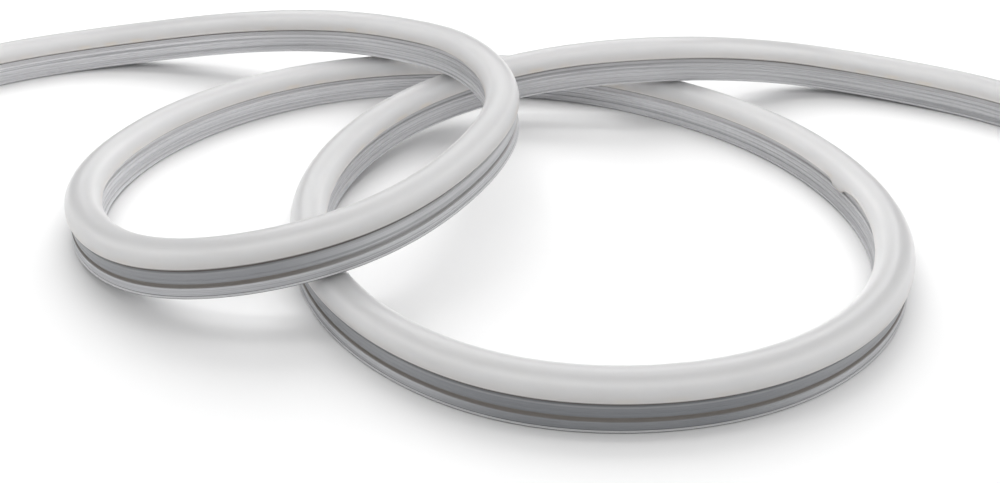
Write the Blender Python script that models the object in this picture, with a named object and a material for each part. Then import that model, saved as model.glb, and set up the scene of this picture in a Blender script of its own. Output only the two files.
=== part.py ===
"""A two metre length of LED neon flex lying in two loose loops, dome up.

The flex is an extrusion bent along one smooth route. Its section has two
pieces: a milky diffuser with a rounded top, and a grey base channel that the
diffuser sits on. The route runs clockwise seen from above, so the left side
of the section is the outer wall of both loops and the right side the inner
wall. Where the flex crosses itself the upper run is carried by the dome of
the lower one.

Units are metres, +Z is up and the underside of the flex rests on z = 0.
"""
import math

import bmesh
import bpy
import numpy as np

# Real sizes of the section
DOME_WIDTH = 0.0150
DOME_RISE = 0.0086
LIP_DEPTH = 0.0008
SEAM_HEIGHT = 0.0126
PIECE_GAP = 0.0003

OUTER_FOOT_PROUD = 0.0001
BASE_OUTER_REACH = DOME_WIDTH / 2.0 + OUTER_FOOT_PROUD
BASE_INNER_REACH = 0.0063
FOOT_THICKNESS = 0.0012
FOOT_STEP = 0.0004
INNER_FOOT_CHAMFER = 0.0008
OUTER_LOW_WALL = 0.0070
OUTER_HIGH_WALL = 0.0065
OUTER_GROOVE_FLOOR = 0.0057
GROOVE_LOW = 0.0045
GROOVE_HIGH = 0.0061

INNER_TOP_WALL = 0.0049
INNER_RIB_WALL = 0.0055
RECESS_DEPTH = 0.0030
RIB_GROOVE_DEPTH = 0.0005
RIB_GROOVE_WIDTH = 0.0007
RIB_GROOVE_COUNT = 3
RIB_END_SHARE = 0.5

# Length of the flex, and length between two cross sections of the solids
FLEX_LENGTH = 2.0
STATION_STEP = 0.0100
DOME_SEGMENTS = 12
ROUTE_SAMPLES = 4000
LENGTH_PASSES = 3

# Middle of the underside, from the left end, over both loops, to the right end.
# The third number is its height, counted in heights of the section.
ROUTE = [
    (-0.3020, 0.0980, 0.000),
    (-0.2693, 0.1246, 0.000),
    (-0.2213, 0.1451, 0.057),
    (-0.1713, 0.1436, 0.373),
    (-0.1213, 0.1321, 0.788),
    (-0.0713, 0.1186, 1.028),
    (-0.0308, 0.0891, 1.316),
    (-0.0013, 0.0461, 1.660),
    (0.0117, -0.0009, 1.618),
    (-0.0088, -0.0489, 1.288),
    (-0.0458, -0.0839, 1.090),
    (-0.0953, -0.0909, 0.679),
    (-0.1408, -0.0689, 0.231),
    (-0.1678, -0.0264, 0.085),
    (-0.1638, 0.0251, 0.000),
    (-0.1358, 0.0676, 0.000),
    (-0.0933, 0.0976, 0.000),
    (-0.0438, 0.1116, 0.000),
    (0.0082, 0.1116, 0.000),
    (0.0582, 0.1011, 0.000),
    (0.1042, 0.0766, 0.000),
    (0.1417, 0.0416, 0.000),
    (0.1657, -0.0044, 0.000),
    (0.1702, -0.0549, 0.000),
    (0.1492, -0.1024, 0.000),
    (0.1092, -0.1339, 0.000),
    (0.0587, -0.1464, 0.000),
    (0.0082, -0.1394, 0.000),
    (-0.0348, -0.1114, 0.000),
    (-0.0628, -0.0679, 0.000),
    (-0.0693, -0.0174, 0.066),
    (-0.0508, 0.0306, 0.264),
    (-0.0138, 0.0666, 0.458),
    (0.0342, 0.0786, 0.816),
    (0.0852, 0.0781, 1.108),
    (0.1332, 0.0971, 0.712),
    (0.1807, 0.1121, 0.222),
    (0.2302, 0.0991, 0.052),
    (0.2742, 0.0716, 0.000),
    (0.3008, 0.0389, 0.000),
]


def smooth_curve(points, count):
    """Natural cubic spline through the points, spaced by chord length."""
    knots = np.asarray(points, dtype=float)
    chords = np.linalg.norm(np.diff(knots, axis=0), axis=1)
    at = np.concatenate([[0.0], np.cumsum(chords)])
    n = len(at)
    system = np.zeros((n, n))
    right = np.zeros((n, 3))
    system[0, 0] = 1.0
    system[-1, -1] = 1.0
    for i in range(1, n - 1):
        before = at[i] - at[i - 1]
        after = at[i + 1] - at[i]
        system[i, i - 1] = before
        system[i, i] = 2.0 * (before + after)
        system[i, i + 1] = after
        rise = (knots[i + 1] - knots[i]) / after
        fall = (knots[i] - knots[i - 1]) / before
        right[i] = 6.0 * (rise - fall)
    bend = np.linalg.solve(system, right)
    where = np.linspace(0.0, at[-1], count)
    cell = np.clip(np.searchsorted(at, where, side="right") - 1, 0, n - 2)
    width = (at[cell + 1] - at[cell])[:, None]
    near = (at[cell + 1] - where)[:, None]
    far = (where - at[cell])[:, None]
    curve = bend[cell] * near ** 3 / (6.0 * width)
    curve += bend[cell + 1] * far ** 3 / (6.0 * width)
    curve += (knots[cell] / width - bend[cell] * width / 6.0) * near
    curve += (knots[cell + 1] / width - bend[cell + 1] * width / 6.0) * far
    curve[:, 2] = np.maximum(curve[:, 2], 0.0)
    return curve


def run_along(curve):
    """Distance along the curve up to each of its points."""
    lengths = np.linalg.norm(np.diff(curve, axis=0), axis=1)
    return np.concatenate([[0.0], np.cumsum(lengths)])


def laid_route():
    """Route points in metres, spread so that the curve has the flex's length."""
    points = np.array(ROUTE)
    points[:, 2] *= SEAM_HEIGHT + DOME_RISE
    for _ in range(LENGTH_PASSES):
        long = run_along(smooth_curve(points, ROUTE_SAMPLES))[-1]
        points[:, :2] *= FLEX_LENGTH / long
    return points


def stations(step):
    """Evenly spaced points of the route, each with its left and up direction."""
    curve = smooth_curve(laid_route(), ROUTE_SAMPLES)
    run = run_along(curve)
    count = round(run[-1] / step) + 1
    at = np.linspace(0.0, run[-1], count)
    middle = np.stack([np.interp(at, run, curve[:, k]) for k in range(3)], axis=1)
    ahead = np.gradient(middle, axis=0)
    ahead /= np.linalg.norm(ahead, axis=1)[:, None]
    left = np.cross(np.array([0.0, 0.0, 1.0]), ahead)
    left /= np.linalg.norm(left, axis=1)[:, None]
    up = np.cross(ahead, left)
    return middle, left, up, float(run[-1])


def diffuser_section():
    """Rounded top on a flat underside, counterclockwise, as (left, up) pairs."""
    half = DOME_WIDTH / 2.0
    points = [(-half + LIP_DEPTH, SEAM_HEIGHT), (half - LIP_DEPTH, SEAM_HEIGHT)]
    spring = SEAM_HEIGHT + LIP_DEPTH
    rise = DOME_RISE - LIP_DEPTH
    for i in range(DOME_SEGMENTS + 1):
        angle = math.pi * i / DOME_SEGMENTS
        points.append((half * math.cos(angle), spring + rise * math.sin(angle)))
    return points


def base_section():
    """Flat foot, grooved outer wall and ribbed inner wall, counterclockwise."""
    top = SEAM_HEIGHT - PIECE_GAP
    points = [
        (-BASE_INNER_REACH + INNER_FOOT_CHAMFER, 0.0),
        (BASE_OUTER_REACH, 0.0),
        (BASE_OUTER_REACH, FOOT_THICKNESS - FOOT_STEP),
        (BASE_OUTER_REACH - FOOT_STEP, FOOT_THICKNESS),
        (OUTER_LOW_WALL, GROOVE_LOW),
        (OUTER_GROOVE_FLOOR, GROOVE_LOW),
        (OUTER_GROOVE_FLOOR, GROOVE_HIGH),
        (OUTER_HIGH_WALL, GROOVE_HIGH),
        (OUTER_HIGH_WALL, top),
        (-INNER_TOP_WALL, top),
        (-INNER_TOP_WALL, top - RECESS_DEPTH),
        (-INNER_RIB_WALL, top - RECESS_DEPTH),
    ]
    ribbed = top - RECESS_DEPTH - FOOT_THICKNESS
    pitch = ribbed / (RIB_GROOVE_COUNT + RIB_END_SHARE)
    for i in range(RIB_GROOVE_COUNT):
        middle = top - RECESS_DEPTH - pitch * (i + 1)
        points.append((-INNER_RIB_WALL, middle + RIB_GROOVE_WIDTH / 2.0))
        points.append((-INNER_RIB_WALL + RIB_GROOVE_DEPTH, middle))
        points.append((-INNER_RIB_WALL, middle - RIB_GROOVE_WIDTH / 2.0))
    points.append((-INNER_RIB_WALL, FOOT_THICKNESS))
    points.append((-BASE_INNER_REACH, FOOT_THICKNESS - FOOT_STEP))
    return points


def material(name, colour, roughness, transmission):
    """A plain surface with its own colour."""
    made = bpy.data.materials.new(name)
    made.use_nodes = True
    shader = made.node_tree.nodes["Principled BSDF"]
    shader.inputs["Base Color"].default_value = (*colour, 1.0)
    shader.inputs["Roughness"].default_value = roughness
    shader.inputs["Transmission Weight"].default_value = transmission
    return made


def sweep(name, section, frames, surface, smooth_angle):
    """Carry the section along the frames and close both ends flat."""
    middle, left, up, _ = frames
    shape = bmesh.new()
    rings = []
    for centre, aside, above in zip(middle, left, up):
        ring = []
        for across, height in section:
            ring.append(shape.verts.new(centre + aside * across + above * height))
        rings.append(ring)
    count = len(section)
    for here, there in zip(rings[:-1], rings[1:]):
        for i in range(count):
            j = (i + 1) % count
            shape.faces.new((here[i], there[i], there[j], here[j]))
    shape.faces.new(rings[0])
    shape.faces.new(list(reversed(rings[-1])))
    bmesh.ops.recalc_face_normals(shape, faces=shape.faces)
    mesh = bpy.data.meshes.new(name)
    shape.to_mesh(mesh)
    shape.free()
    mesh.materials.append(surface)
    mesh.shade_smooth()
    mesh.set_sharp_from_angle(angle=math.radians(smooth_angle))
    thing = bpy.data.objects.new(name, mesh)
    bpy.context.scene.collection.objects.link(thing)
    return thing


for old in list(bpy.data.objects):
    bpy.data.objects.remove(old, do_unlink=True)

FRAMES = stations(STATION_STEP)
MILKY_WHITE = material("diffuser", (0.84, 0.84, 0.83), 0.35, 0.0)
SMOKY_GREY = material("base_channel", (0.42, 0.43, 0.44), 0.4, 0.0)
sweep("diffuser", diffuser_section(), FRAMES, MILKY_WHITE, 40.0)
sweep("base_channel", base_section(), FRAMES, SMOKY_GREY, 30.0)
print("flex length %.4f m" % FRAMES[3])
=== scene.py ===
# %% [markdown]
# # A length of LED neon flex in two loose loops
#
# This lesson dresses a imported model of LED neon flex: a flexible light strip
# cast into silicone. The section of the real thing has two parts. On top is a
# milky diffuser with a rounded back, and below it is a grey base channel, which
# holds the strip. The imported model already has the true sizes and the true
# route, so the lesson first loads it as a fixed frame, then builds finer skins
# along the same route and gives them their materials.

# %% Load the imported frame
import math

import bpy
import numpy as np
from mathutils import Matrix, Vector


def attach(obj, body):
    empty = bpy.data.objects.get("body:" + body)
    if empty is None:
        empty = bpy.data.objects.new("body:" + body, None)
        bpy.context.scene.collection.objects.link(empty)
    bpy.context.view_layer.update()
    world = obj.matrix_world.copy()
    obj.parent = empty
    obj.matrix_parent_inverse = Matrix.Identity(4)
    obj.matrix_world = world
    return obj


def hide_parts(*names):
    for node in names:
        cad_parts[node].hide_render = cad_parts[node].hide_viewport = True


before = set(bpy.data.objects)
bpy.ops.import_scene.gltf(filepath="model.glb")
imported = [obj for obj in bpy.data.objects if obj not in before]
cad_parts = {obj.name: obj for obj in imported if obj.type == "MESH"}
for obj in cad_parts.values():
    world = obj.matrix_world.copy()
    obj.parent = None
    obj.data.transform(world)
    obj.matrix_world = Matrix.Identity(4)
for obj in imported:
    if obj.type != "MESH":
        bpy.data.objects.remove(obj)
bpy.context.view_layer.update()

BODY = "root"

# %% [markdown]
# ## The camera
#
# The picture was taken from the front and above, with a short lens close to the
# flex: the front arc looks far wider than the runs at the back. A camera in
# Blender looks along its own -Z, so a turn of 90 degrees about X makes it look
# level along +Y, and less than that tips it down towards the floor. Its place
# and lens come from matching the edges of the flex, and nothing is shifted.

# %% Make the camera
CAMERA_PLACE = (0.01077, -0.40203, 0.24097)
CAMERA_PITCH = 33.5
CAMERA_LENS = 36.708
SENSOR_WIDTH = 36.0
CLIP_START = 0.01

camera_data = bpy.data.cameras.new("photo_camera")
camera_data.sensor_width = SENSOR_WIDTH
camera_data.lens = CAMERA_LENS
camera_data.clip_start = CLIP_START
camera = bpy.data.objects.new("photo_camera", camera_data)
camera.location = CAMERA_PLACE
camera.rotation_euler = (math.radians(90.0 - CAMERA_PITCH), 0.0, 0.0)
bpy.context.scene.collection.objects.link(camera)
bpy.context.scene.camera = camera
print("camera at", CAMERA_PLACE, "tipped down", CAMERA_PITCH, "degrees")

# %% [markdown]
# ## The route
#
# Neon flex bends easily sideways and hardly at all up and down, so its back
# stays on top all the way, and one line along the middle of its underside says
# where it lies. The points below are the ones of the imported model, in metres.

# %% The route's points, from the left end to the right end
ROUTE = [
    (-0.3020, 0.0980, 0.0000),
    (-0.2693, 0.1246, 0.0000),
    (-0.2213, 0.1451, 0.0012),
    (-0.1713, 0.1436, 0.0079),
    (-0.1213, 0.1321, 0.0167),
    (-0.0713, 0.1186, 0.0218),
    (-0.0308, 0.0891, 0.0279),
    (-0.0013, 0.0461, 0.0352),
    (0.0117, -0.0009, 0.0343),
    (-0.0088, -0.0489, 0.0273),
    (-0.0458, -0.0839, 0.0231),
    (-0.0953, -0.0909, 0.0144),
    (-0.1408, -0.0689, 0.0049),
    (-0.1678, -0.0264, 0.0018),
    (-0.1638, 0.0251, 0.0000),
    (-0.1358, 0.0676, 0.0000),
    (-0.0933, 0.0976, 0.0000),
    (-0.0438, 0.1116, 0.0000),
    (0.0082, 0.1116, 0.0000),
    (0.0582, 0.1011, 0.0000),
    (0.1042, 0.0766, 0.0000),
    (0.1417, 0.0416, 0.0000),
    (0.1657, -0.0044, 0.0000),
    (0.1702, -0.0549, 0.0000),
    (0.1492, -0.1024, 0.0000),
    (0.1092, -0.1339, 0.0000),
    (0.0587, -0.1464, 0.0000),
    (0.0082, -0.1394, 0.0000),
    (-0.0348, -0.1114, 0.0000),
    (-0.0628, -0.0679, 0.0000),
    (-0.0693, -0.0174, 0.0014),
    (-0.0508, 0.0306, 0.0056),
    (-0.0138, 0.0666, 0.0097),
    (0.0342, 0.0786, 0.0173),
    (0.0852, 0.0781, 0.0235),
    (0.1332, 0.0971, 0.0151),
    (0.1807, 0.1121, 0.0047),
    (0.2302, 0.0991, 0.0011),
    (0.2742, 0.0716, 0.0000),
    (0.3008, 0.0389, 0.0000),
]
print("route of", len(ROUTE), "points")

# %% [markdown]
# ## A smooth curve through the points
#
# Arcs and straight runs would look like bent wire, and a Bezier curve would need
# a handle at each point. A natural cubic spline needs none and turns without a
# visible joint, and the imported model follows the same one. Its bends at the
# points are the unknowns of one set of linear equations.

# %% Make the curve
ROUTE_SAMPLES = 4000


def smooth_curve(points, count):
    """Natural cubic spline through the points, spaced by chord length."""
    knots = np.asarray(points, dtype=float)
    chords = np.linalg.norm(np.diff(knots, axis=0), axis=1)
    at = np.concatenate([[0.0], np.cumsum(chords)])
    n = len(at)
    system = np.zeros((n, n))
    right = np.zeros((n, 3))
    system[0, 0] = 1.0
    system[-1, -1] = 1.0
    for i in range(1, n - 1):
        before = at[i] - at[i - 1]
        after = at[i + 1] - at[i]
        system[i, i - 1] = before
        system[i, i] = 2.0 * (before + after)
        system[i, i + 1] = after
        rise = (knots[i + 1] - knots[i]) / after
        fall = (knots[i] - knots[i - 1]) / before
        right[i] = 6.0 * (rise - fall)
    bend = np.linalg.solve(system, right)
    where = np.linspace(0.0, at[-1], count)
    cell = np.clip(np.searchsorted(at, where, side="right") - 1, 0, n - 2)
    width = (at[cell + 1] - at[cell])[:, None]
    near = (at[cell + 1] - where)[:, None]
    far = (where - at[cell])[:, None]
    curve = bend[cell] * near ** 3 / (6.0 * width)
    curve += bend[cell + 1] * far ** 3 / (6.0 * width)
    curve += (knots[cell] / width - bend[cell] * width / 6.0) * near
    curve += (knots[cell + 1] / width - bend[cell + 1] * width / 6.0) * far
    curve[:, 2] = np.maximum(curve[:, 2], 0.0)
    return curve


CURVE = smooth_curve(ROUTE, ROUTE_SAMPLES)
print("curve rises to %.1f mm" % (CURVE[:, 2].max() * 1000.0))

# %% [markdown]
# ## Stations along the flex
#
# The skins need to know, at each of many stations, where the middle of the
# underside is and which ways are left and up. An even step is enough almost
# everywhere. One short stretch, where the lip of the diffuser has slipped, gets
# a much finer step.

# %% Make the stations
STATION_STEP = 0.0025
CLOSE_FROM = 1.1255
CLOSE_TO = 1.1600
CLOSE_STEP = 0.0005


class Flex:
    """Places along the flex: middle of the underside, left, up and run."""

    def __init__(self, curve):
        lengths = np.linalg.norm(np.diff(curve, axis=0), axis=1)
        run = np.concatenate([[0.0], np.cumsum(lengths)])
        self.length = float(run[-1])
        even = np.linspace(0.0, self.length, round(self.length / STATION_STEP) + 1)
        self.run = np.union1d(even, np.arange(CLOSE_FROM, CLOSE_TO, CLOSE_STEP))
        middle = [np.interp(self.run, run, curve[:, k]) for k in range(3)]
        self.middle = np.stack(middle, axis=1)
        ahead = np.gradient(self.middle, self.run, axis=0)
        ahead /= np.linalg.norm(ahead, axis=1)[:, None]
        left = np.cross(np.array([0.0, 0.0, 1.0]), ahead)
        self.left = left / np.linalg.norm(left, axis=1)[:, None]
        self.up = np.cross(ahead, self.left)


flex = Flex(CURVE)
print("flex length %.3f m in %d stations" % (flex.length, len(flex.run)))

# %% [markdown]
# ## The sections
#
# Both pieces are extrusions, so a section and the route make the whole shape.
# Seen along the route, plus is the left side, which is the outer wall of both
# loops, and minus is the inner wall. The diffuser hangs over the base on both
# sides with a small rounded lip. The outer wall of the base has a deep groove
# that a fixing clip catches, a few fine lines from the die, and a thin foot that
# sticks out. The inner wall is ribbed, so that it can fold together in a bend.
# A list of corners, each with its own rounding, describes such a section well:
# a sharp corner would never catch the thin line of light that real edges show.

# %% Round the corners of an outline
CORNER_SEGMENTS = 2
LONGEST_CUT = 0.45


def rounded(corners):
    """Closed outline through (across, height, radius) corners, each one rounded."""
    points = []
    count = len(corners)
    for i, (x, y, radius) in enumerate(corners):
        here = np.array([x, y])
        back = np.array(corners[i - 1][:2]) - here
        on = np.array(corners[(i + 1) % count][:2]) - here
        back_long = np.linalg.norm(back)
        on_long = np.linalg.norm(on)
        cut = min(radius, LONGEST_CUT * back_long, LONGEST_CUT * on_long)
        if cut <= 0.0:
            points.append(here)
            continue
        start = here + back / back_long * cut
        end = here + on / on_long * cut
        for k in range(CORNER_SEGMENTS + 1):
            t = k / CORNER_SEGMENTS
            points.append((1 - t) ** 2 * start + 2 * t * (1 - t) * here + t ** 2 * end)
    return np.array(points)


print("a corner takes", CORNER_SEGMENTS + 1, "points")

# %% The diffuser's section, in metres
DOME_HALF = 0.0075
LIP_ROUND = 0.0008
SEAM_HEIGHT = 0.0126
DOME_TOP = 0.0212
DOME_SEGMENTS = 40
LIP_SEGMENTS = 4


def diffuser_section():
    """Flat underside, rounded lips and a domed back, counterclockwise."""
    spring = SEAM_HEIGHT + LIP_ROUND
    rise = DOME_TOP - spring
    points = []
    for k in range(LIP_SEGMENTS + 1):
        turn = math.pi / 2.0 * k / LIP_SEGMENTS
        across = DOME_HALF - LIP_ROUND * (1.0 - math.sin(turn))
        points.append((across, spring - LIP_ROUND * math.cos(turn)))
    for i in range(1, DOME_SEGMENTS):
        turn = math.pi * i / DOME_SEGMENTS
        points.append((DOME_HALF * math.cos(turn), spring + rise * math.sin(turn)))
    for x, y in reversed(points[:LIP_SEGMENTS + 1]):
        points.append((-x, y))
    return np.array(points)


DIFFUSER_SECTION = diffuser_section()
print("diffuser's section of", len(DIFFUSER_SECTION), "points")

# %% The base channel's section, in millimetres
MM = 0.001
INNER_FACE = -5.55
RIB_COUNT = 3
RIB_PITCH = 2.2
RIB_FIRST = 8.0
RIB_DEPTH = 0.5
RIB_HALF = 0.42


def base_section():
    """Grooved outer wall, flat underside and ribbed inner wall, counterclockwise."""
    corners = [
        (-5.5, 0.0, 0.2), (7.35, 0.0, 0.2), (7.6, 0.3, 0.25), (7.55, 0.8, 0.25),
        (7.1, 1.0, 0.15), (7.1, 1.5, 0.1), (7.0, 1.65, 0.1), (7.1, 1.8, 0.1),
        (7.05, 3.1, 0.1), (6.95, 3.25, 0.1), (7.05, 3.4, 0.1),
        (7.0, 4.5, 0.25), (5.75, 4.65, 0.3), (5.75, 5.95, 0.3), (6.5, 6.1, 0.25),
        (6.55, 8.1, 0.1), (6.45, 8.25, 0.1), (6.55, 8.4, 0.1),
        (6.6, 11.0, 0.2), (6.2, 11.3, 0.1), (6.2, 12.3, 0.0),
        (-4.9, 12.3, 0.0), (-4.9, 9.9, 0.3), (INNER_FACE, 9.6, 0.3),
    ]
    for i in range(RIB_COUNT):
        middle = RIB_FIRST - RIB_PITCH * i
        corners.append((INNER_FACE, middle + RIB_HALF, 0.2))
        corners.append((INNER_FACE + RIB_DEPTH, middle, 0.12))
        corners.append((INNER_FACE, middle - RIB_HALF, 0.2))
    corners += [(INNER_FACE, 1.7, 0.2), (-6.25, 1.5, 0.2), (-6.25, 0.8, 0.25)]
    return rounded([(x * MM, y * MM, radius * MM) for x, y, radius in corners])


BASE_SECTION = base_section()
print("base channel's section of", len(BASE_SECTION), "points")

# %% [markdown]
# ## From section to skin
#
# Blender's curve bevel could carry a section along a route, but it turns the
# section freely around the line. Here the section is placed by hand at each
# station, upright by construction. Each point also remembers where it sits: how
# far along the flex, how far across and how high. The materials read that later,
# so a mark can follow the seam exactly, whatever way the flex turns.

# %% Carry a section along the route
PLACE = "flex_place"
SHARP_ANGLE = 50.0


def skin(name, section, change=None):
    """Closed mesh of the section along the flex, with each point's own place."""
    stations, around = len(flex.run), len(section)
    shape = np.repeat(section[None, :, :], stations, axis=0)
    along = np.repeat(flex.run, around)[:, None]
    place = np.concatenate([along, shape.reshape(-1, 2)], axis=1)
    if change is not None:
        shape = change(shape)
    across, height = shape[:, :, 0], shape[:, :, 1]
    spots = flex.middle[:, None, :] + flex.left[:, None, :] * across[:, :, None]
    spots = spots + flex.up[:, None, :] * height[:, :, None]
    ring = np.arange(stations - 1)[:, None] * around
    here = ring + np.arange(around)[None, :]
    side = ring + (np.arange(around)[None, :] + 1) % around
    quads = np.stack([here, side, side + around, here + around], axis=-1).reshape(-1, 4)
    faces = quads.tolist()
    faces.append(list(reversed(range(around))))
    faces.append([(stations - 1) * around + i for i in range(around)])
    mesh = bpy.data.meshes.new(name)
    mesh.from_pydata(spots.reshape(-1, 3).tolist(), [], faces)
    layer = mesh.attributes.new(PLACE, "FLOAT_VECTOR", "POINT")
    layer.data.foreach_set("vector", place.astype(np.float32).ravel())
    mesh.validate()
    mesh.shade_smooth()
    mesh.set_sharp_from_angle(angle=math.radians(SHARP_ANGLE))
    piece = bpy.data.objects.new(name, mesh)
    bpy.context.scene.collection.objects.link(piece)
    print(name, "has", len(mesh.vertices), "points and", len(mesh.polygons), "faces")
    return piece


# %% Build the base channel
base = skin("grey_base_channel", BASE_SECTION)
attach(base, BODY)
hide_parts("base_channel")

# %% [markdown]
# ## The diffuser and its loose lip
#
# The diffuser is a clean extrusion, apart from one spot. Near the right-hand end
# of the back run, the lower lip of the inner side has slipped out of its seat:
# a small tongue of it hangs down, and past the tongue the lip sits a little too
# high, until it finds its line again. Two smooth ramps along the flex, which
# move only the points of that lip, give both. The stations lie closer together
# there, or the tongue would turn into a few straight cuts.

# %% Build the diffuser
TONGUE_FROM = 1.1280
TONGUE_TO = 1.1375
TONGUE_RAMP = 0.0050
TONGUE_DROP = 0.0026
LIFT_FROM = 1.1400
LIFT_RAMP = 0.0120
LIFT_BACK = 0.0500
LIP_LIFT = 0.0018
LIP_INNER_FROM = 0.0064
LIP_INNER_SOFT = 0.0006
LIP_LOW_UNTIL = 0.0160
LIP_LOW_SOFT = 0.0025


def smooth_step(x):
    """0 below 0, 1 above 1 and smooth between them."""
    x = np.clip(x, 0.0, 1.0)
    return x * x * (3.0 - 2.0 * x)


def slipped_lip(shape):
    """Lets a tongue of the inner lip hang down, and lifts the lip behind it."""
    tongue = smooth_step((flex.run - TONGUE_FROM) / TONGUE_RAMP)
    tongue = tongue - smooth_step((flex.run - TONGUE_TO) / TONGUE_RAMP)
    lift = smooth_step((flex.run - LIFT_FROM) / LIFT_RAMP)
    lift = lift - smooth_step((flex.run - LIFT_FROM - LIFT_RAMP) / LIFT_BACK)
    rise = LIP_LIFT * lift - TONGUE_DROP * tongue
    across, height = shape[:, :, 0], shape[:, :, 1]
    inner = smooth_step((-across - LIP_INNER_FROM) / LIP_INNER_SOFT)
    low = smooth_step((LIP_LOW_UNTIL - height) / LIP_LOW_SOFT)
    shape[:, :, 1] = height + rise[:, None] * inner * low
    return shape


diffuser = skin("milky_diffuser", DIFFUSER_SECTION, slipped_lip)
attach(diffuser, BODY)
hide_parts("diffuser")

# %% [markdown]
# ## The flex's length and ends
#
# The flex lies loose: a length of 2 m, 15 mm wide, with the diffuser on the base
# channel. Both of its ends are cut off by the picture, so they are plain cuts
# here.

# %% [markdown]
# ## A small language for materials
#
# A material is a net of nodes, and nets are hard to read as code. The small
# class below wraps one output socket, so that plain sums on it add Math nodes.
# Writing each Math node out would do the same in five times the lines.

# %% Sockets as numbers
class Signal:
    """One output socket that takes part in sums."""

    def __init__(self, finish, socket):
        self.finish = finish
        self.socket = socket

    def math(self, operation, *others):
        inputs = {0: self}
        for i, other in enumerate(others):
            inputs[i + 1] = other
        return self.finish.node("ShaderNodeMath", {"operation": operation}, inputs)

    def __add__(self, other):
        return self.math("ADD", other)

    def __sub__(self, other):
        return self.math("SUBTRACT", other)

    def __rsub__(self, other):
        return (self * -1.0).math("ADD", other)

    def __mul__(self, other):
        return self.math("MULTIPLY", other)

    def __truediv__(self, other):
        return self.math("DIVIDE", other)

    __radd__ = __add__
    __rmul__ = __mul__

    def step(self, low, high):
        """0 below low, 1 above high and smooth between them."""
        return self.finish.node(
            "ShaderNodeMapRange",
            {"interpolation_type": "SMOOTHSTEP"},
            {"Value": self, "From Min": low, "From Max": high},
        )

    def band(self, low, high, soft):
        """1 between low and high, with soft edges outside them."""
        return self.step(low - soft, low) * (1.0 - self.step(high, high + soft))


print("sums on sockets add Math nodes")

# %% [markdown]
# ## Every other node through one method
#
# `Finish` is one material. Its `node` makes a node of any type from its type,
# its settings, and the values or links of its inputs. The short methods below
# it only name the nodes that the two materials use most.

# %% Materials from nodes
MIX_FACTOR = 0
MIX_FIRST = 6
MIX_SECOND = 7
MIX_COLOUR = 2


class Finish:
    """A material whose nodes are made one by one."""

    def __init__(self, name):
        self.material = bpy.data.materials.new(name)
        self.material.use_nodes = True
        self.tree = self.material.node_tree
        self.tree.nodes.clear()

    def node(self, kind, settings=None, inputs=None, output=0):
        """Makes a node: settings first, then the value or link of each input."""
        made = self.tree.nodes.new(kind)
        for key, value in (settings or {}).items():
            setattr(made, key, value)
        for key, value in (inputs or {}).items():
            if isinstance(value, Signal):
                self.tree.links.new(value.socket, made.inputs[key])
            else:
                made.inputs[key].default_value = value
        return Signal(self, made.outputs[output] if made.outputs else None)

    def place(self):
        """The along, across and height of the point that is shaded, in metres."""
        settings = {"attribute_name": PLACE}
        vector = self.node("ShaderNodeAttribute", settings, output="Vector")
        parts = self.node("ShaderNodeSeparateXYZ", None, {0: vector}).socket.node
        return [Signal(self, parts.outputs[k]) for k in range(3)]

    def vector(self, x, y, z):
        return self.node("ShaderNodeCombineXYZ", None, {0: x, 1: y, 2: z})

    def noise(self, vector, scale, detail=2.0, roughness=0.5):
        inputs = {"Vector": vector, "Scale": scale,
                  "Detail": detail, "Roughness": roughness}
        return self.node("ShaderNodeTexNoise", {"noise_dimensions": "3D"}, inputs)

    def mix(self, factor, first, second):
        """A colour between first and second."""
        pair = [(*c, 1.0) if isinstance(c, tuple) else c for c in (first, second)]
        inputs = {MIX_FACTOR: factor, MIX_FIRST: pair[0], MIX_SECOND: pair[1]}
        settings = {"data_type": "RGBA"}
        return self.node("ShaderNodeMix", settings, inputs, output=MIX_COLOUR)

    def bump(self, height, strength, distance):
        inputs = {"Strength": strength, "Distance": distance, "Height": height}
        return self.node("ShaderNodeBump", None, inputs)

    def shader(self, **inputs):
        """Ends the net in a Principled surface; underscores stand for spaces."""
        named = {key.replace("_", " "): value for key, value in inputs.items()}
        surface = self.node("ShaderNodeBsdfPrincipled", None, named)
        self.node("ShaderNodeOutputMaterial", None, {"Surface": surface})
        return self.material


print("finishes read", PLACE)

# %% [markdown]
# ## Milky silicone
#
# The diffuser is silicone filled with a white powder. It is almost white, with
# a soft gloss, and light creeps a long way into it. Its crest is painted a shade
# deeper than its flanks: painted shade that evens out the stronger light on the
# top. Up close it has faint lines that the die drew along it, slow clouds in the
# milk, and a warm tint close to the seam, where the strip inside shows through
# at each diode.
# The lip ends in a thin pale edge, with the brown of the seam below it.

# %% The diffuser's colours, and where they lie
MILK = (0.74, 0.738, 0.74)
MILK_CLOUD = (0.71, 0.708, 0.713)
# Painted shade: the crest is darker to even out the stronger light on top.
MILK_CREST_SHADE = (0.515, 0.515, 0.52)
WARM_RIM = (0.69, 0.655, 0.625)
WARM_SPOT = (0.74, 0.66, 0.56)
RIM_EDGE = (0.78, 0.74, 0.71)
SEAM_BROWN = (0.14, 0.12, 0.105)
TONGUE_WARM = (0.50, 0.41, 0.34)
DIODE_PITCH = 0.0167

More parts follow.
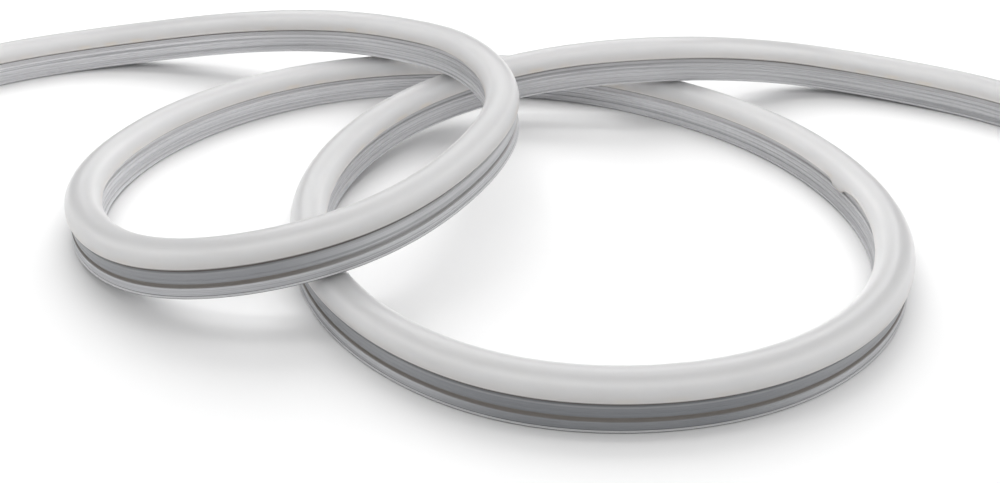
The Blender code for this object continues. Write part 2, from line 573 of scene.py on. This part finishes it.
CREST_RAMP = (SEAM_HEIGHT + 0.0062, DOME_TOP)
RIM_RAMP = (SEAM_HEIGHT + 0.0004, SEAM_HEIGHT + 0.0048)
SPOT_RAMP = (SEAM_HEIGHT + 0.0010, SEAM_HEIGHT + 0.0034)
EDGE_BAND = (SEAM_HEIGHT + 0.0009, SEAM_HEIGHT + 0.0012, 0.0002)
BROWN_RAMP = (SEAM_HEIGHT + 0.0004, SEAM_HEIGHT + 0.0008)
TONGUE_RUN = (TONGUE_FROM + TONGUE_RAMP, TONGUE_TO, TONGUE_RAMP)
TONGUE_EDGE_RAMP = (SEAM_HEIGHT + 0.0006, SEAM_HEIGHT + 0.0011)
INNER_SIDE_RAMP = (0.0050, 0.0064)
DIODE_BAND = (0.42, 0.58, 0.28)
print("a diode every %.1f mm" % (DIODE_PITCH * 1000.0))


# %% The diffuser's material
def milky_silicone():
    finish = Finish("milky_silicone")
    along, across, height = finish.place()
    drawn = finish.vector(along * 6.0, across * 900.0, height * 900.0)
    lines = finish.noise(drawn, 1.0, 3.0)
    slow = finish.vector(along * 30.0, across * 90.0, height * 90.0)
    clouds = finish.noise(slow, 1.0, 2.0)
    inner = (across * -1.0).step(*INNER_SIDE_RAMP)

    # The milk, with painted shade on the crest, and warmer towards the rim.
    colour = finish.mix(clouds.step(0.35, 0.65) * 0.7, MILK, MILK_CLOUD)
    colour = finish.mix(height.step(*CREST_RAMP), colour, MILK_CREST_SHADE)
    colour = finish.mix((1.0 - height.step(*RIM_RAMP)) * 0.75, colour, WARM_RIM)

    # A faint warm spot at each diode, uneven along the flex.
    near_diode = (along / DIODE_PITCH).math("FRACT").band(*DIODE_BAND)
    patches = finish.vector(along * 14.0, across * 3.0, 0.0)
    uneven = finish.noise(patches, 1.0, 1.0).step(0.45, 0.62)
    spots = (1.0 - height.step(*SPOT_RAMP)) * near_diode * uneven
    colour = finish.mix(spots * (0.35 + inner * 0.45), colour, WARM_SPOT)

    # The pale edge of the lip, the brown seam below it and the loose tongue.
    colour = finish.mix(height.band(*EDGE_BAND) * 0.6, colour, RIM_EDGE)
    seam = 1.0 - height.step(*BROWN_RAMP)
    colour = finish.mix(seam * (0.85 - inner * 0.35), colour, SEAM_BROWN)
    tongue = along.band(*TONGUE_RUN) * inner
    tongue = tongue * (1.0 - height.step(*TONGUE_EDGE_RAMP))
    colour = finish.mix(tongue * 0.8, colour, TONGUE_WARM)

    rough = 0.22 + lines * 0.10 + clouds * 0.08
    return finish.shader(
        Base_Color=colour, Roughness=rough,
        Normal=finish.bump(lines, 0.10, 0.0002),
        IOR=1.41, Specular_IOR_Level=0.5, Subsurface_Weight=1.0,
        Subsurface_Scale=0.014, Subsurface_Radius=(1.0, 0.97, 0.93),
    )


diffuser.data.materials.append(milky_silicone())
print("diffuser finished")

# %% [markdown]
# ## Smoky silicone
#
# The base channel is the same rubber with a grey filler, a little clearer. The
# outer wall looks bluish grey and its groove brown, because the strip shows
# through; the inner wall is paler. Both have fine lines from the die. The foot
# has a thin painted highlight, with painted shade in the step above it and a
# painted contact shadow below it. The bands follow the section, so the material
# takes them from the height and the side of each point. Along the flex, light
# and shade are painted into the tone: painted light on the outer wall of the
# raised turn of the left loop, painted shade on the front of the right loop, and
# painted shade on the inner wall round the right loop and near the floor.

# %% The base channel's colours, and where they lie
SMOKE = (0.325, 0.332, 0.35)
SMOKE_LOW = (0.575, 0.58, 0.60)
SMOKE_INNER = (0.79, 0.79, 0.81)
# Painted shade on the inner wall round the right loop.
SMOKE_INNER_SHADE = (0.59, 0.59, 0.605)
# Painted highlight on the foot, and painted shade above and below it.
FOOT_HIGHLIGHT = (0.66, 0.66, 0.67)
FOOT_SHADE = (0.08, 0.08, 0.085)
RIDGE_PALE = (0.42, 0.42, 0.43)
GROOVE_TINT = (0.27, 0.245, 0.22)
SEAM_DARK = (0.12, 0.105, 0.095)
# Painted light on the raised right-hand turn of the left loop.
PAINTED_LIGHT_GREY = (0.66, 0.665, 0.68)
# Painted shade on the front of the right loop.
PAINTED_SHADE_GREY = (0.21, 0.22, 0.235)
# Dark of the die's lines, also used as painted shade near the floor.
LINE_DARK_AND_SHADE = (0.26, 0.265, 0.28)

OUTER_SIDE_RAMP = (-0.001, 0.001)
LOW_WALL_RAMP = (0.0044, 0.0050)
GROOVE_BAND = (0.0046, 0.0060, 0.0002)
# Where the foot's painted highlight, painted contact shadow and painted shade lie.
FOOT_HIGHLIGHT_BAND = (0.0005, 0.0010, 0.0001)
CONTACT_SHADOW_RAMP = (0.0004, 0.0005)
STEP_SHADE_BAND = (0.0011, 0.0012, 0.0001)
RIDGE_BAND = (0.0104, 0.0109, 0.0003)
SEAM_RAMP = (0.0112, 0.0117)
# Painted shade on the inner wall near the floor.
FLOOR_SHADE_RAMP = (0.0030, 0.0090)
# Along the flex: painted light, then painted shade on the outer and the inner wall.
PAINTED_LIGHT_RUN = (0.36, 0.49, 0.05)
PAINTED_SHADE_RUN = (1.32, 1.37, 0.06)
INNER_SHADE_RAMP = (1.00, 1.14)
INNER_SHADE_FADE_RAMP = (1.40, 1.55)
print("seam darkens from %.1f mm" % (SEAM_RAMP[0] * 1000.0))


# %% The base channel's material
def smoky_silicone():
    finish = Finish("smoky_silicone")
    along, across, height = finish.place()
    drawn = finish.vector(along * 5.0, across * 1400.0, height * 1400.0)
    lines = finish.noise(drawn, 1.0, 4.0, 0.6)
    patches = finish.vector(along * 25.0, across * 60.0, height * 60.0)
    slow = finish.noise(patches, 1.0, 2.0)
    outer = across.step(*OUTER_SIDE_RAMP)

    # The outer wall: two tones, with painted light on the raised turn of the left loop
    # and painted shade on the front of the right loop.
    painted_light = along.band(*PAINTED_LIGHT_RUN)
    colour = finish.mix(1.0 - height.step(*LOW_WALL_RAMP), SMOKE, SMOKE_LOW)
    colour = finish.mix(painted_light * 0.85, colour, PAINTED_LIGHT_GREY)
    colour = finish.mix(along.band(*PAINTED_SHADE_RUN) * 0.80, colour, PAINTED_SHADE_GREY)

    # The inner wall: paler, with painted shade round the right loop and near the floor.
    inner_shade = along.step(*INNER_SHADE_RAMP) * (1.0 - along.step(*INNER_SHADE_FADE_RAMP) * 0.45)
    floor_shade = 1.0 - height.step(*FLOOR_SHADE_RAMP)
    inner_shade_mix = inner_shade * 0.9 + floor_shade * 0.1
    inner_tone = finish.mix(inner_shade_mix, SMOKE_INNER, SMOKE_INNER_SHADE)
    inner_tone = finish.mix(floor_shade * 0.12, inner_tone, LINE_DARK_AND_SHADE)
    colour = finish.mix(1.0 - outer, colour, inner_tone)

    # Lines of the die, the groove, the ridge above it, the painted highlight and
    # painted shade of the foot, and the seam.
    colour = finish.mix(lines.step(0.46, 0.66) * 0.55, colour, LINE_DARK_AND_SHADE)
    groove = height.band(*GROOVE_BAND) * outer
    # The groove's tint is weaker under the painted light.
    tinted = groove * (0.70 + slow * 0.30) * (1.0 - painted_light * 0.6)
    colour = finish.mix(tinted, colour, GROOVE_TINT)
    colour = finish.mix(height.band(*RIDGE_BAND) * outer * 0.35, colour, RIDGE_PALE)
    # A painted highlight on the foot, a painted contact shadow below it and painted
    # shade in the step above it.
    colour = finish.mix(height.band(*FOOT_HIGHLIGHT_BAND) * outer * 0.8, colour, FOOT_HIGHLIGHT)
    contact_shadow = 1.0 - height.step(*CONTACT_SHADOW_RAMP)
    foot_shade = (contact_shadow + height.band(*STEP_SHADE_BAND)) * outer
    colour = finish.mix(foot_shade * 0.85, colour, FOOT_SHADE)
    colour = finish.mix(height.step(*SEAM_RAMP), colour, SEAM_DARK)

    rough = 0.24 + lines * 0.16 + slow * 0.08
    return finish.shader(
        Base_Color=colour, Roughness=rough,
        Normal=finish.bump(lines, 0.4, 0.0003),
        IOR=1.41, Subsurface_Weight=0.35, Subsurface_Scale=0.003,
        Subsurface_Radius=(1.0, 1.0, 1.0),
    )


base.data.materials.append(smoky_silicone())
print("base channel finished")

# %% [markdown]
# ## Floor and light
#
# The flex was photographed on a bright white floor, in an even light. The key
# light stands behind it, so the inner walls at the back are in shade and the
# soft shadows come forwards. A second one above lights the backs, and a narrow
# strip beside it draws the thin streak along them. Weaker ones at both sides
# and in front lift the walls. Few large softboxes and a pale world give all of
# that, and their powers come from comparing tones. The floor isn't part of the
# object, so it is staged.

# %% Floor
FLOOR_HALF = 4.0
FLOOR_DROP = 0.0001
FLOOR_WHITE = (0.92, 0.92, 0.92, 1.0)

signs = ((-1, -1), (1, -1), (1, 1), (-1, 1))
corners = [(x * FLOOR_HALF, y * FLOOR_HALF, -FLOOR_DROP) for x, y in signs]
floor_mesh = bpy.data.meshes.new("floor")
floor_mesh.from_pydata(corners, [], [(0, 1, 2, 3)])
floor = bpy.data.objects.new("floor", floor_mesh)
bpy.context.scene.collection.objects.link(floor)

white = Finish("white_floor")
floor.data.materials.append(white.shader(Base_Color=FLOOR_WHITE, Roughness=0.9))
print("floor of", 2.0 * FLOOR_HALF, "m")

# %% Light: name, bearing, rise, size and power of each softbox
SKY_STRENGTH = 0.14
AIM = (0.0, 0.0, 0.0)
SOFTBOX_AWAY = 1.5
SOFTBOXES = [
    ("back_softbox", 0.0, 45.0, (1.8, 0.9), 15.5),
    ("high_softbox", 0.0, 75.0, (1.8, 0.9), 7.5),
    ("strip_softbox", 0.0, 81.0, (1.6, 0.20), 3.0),
    ("left_softbox", -90.0, 25.0, (1.4, 0.9), 3.2),
    ("right_softbox", 90.0, 25.0, (1.4, 0.9), 4.2),
    ("front_softbox", 180.0, 50.0, (1.8, 0.9), 7.7),
]


def softbox(name, bearing, rise, size, power):
    """Area light around the object: bearing from the back, clockwise from above."""
    turn = math.radians(bearing)
    lift = math.radians(rise)
    flat = math.cos(lift)
    way = Vector((math.sin(turn) * flat, math.cos(turn) * flat, math.sin(lift)))
    data = bpy.data.lights.new(name, "AREA")
    data.shape = "RECTANGLE"
    data.size, data.size_y = size
    data.energy = power
    lamp = bpy.data.objects.new(name, data)
    lamp.location = Vector(AIM) + way * SOFTBOX_AWAY
    lamp.rotation_euler = way.to_track_quat("Z", "Y").to_euler()
    bpy.context.scene.collection.objects.link(lamp)
    return lamp


world = bpy.data.worlds.new("soft_sky")
world.use_nodes = True
sky = world.node_tree.nodes["Background"]
sky.inputs["Color"].default_value = (1.0, 1.0, 1.0, 1.0)
sky.inputs["Strength"].default_value = SKY_STRENGTH
bpy.context.scene.world = world

lamps = [softbox(*row) for row in SOFTBOXES]
bpy.context.scene.view_settings.view_transform = "Standard"
print("lit by", len(lamps), "softboxes and a sky of", SKY_STRENGTH)
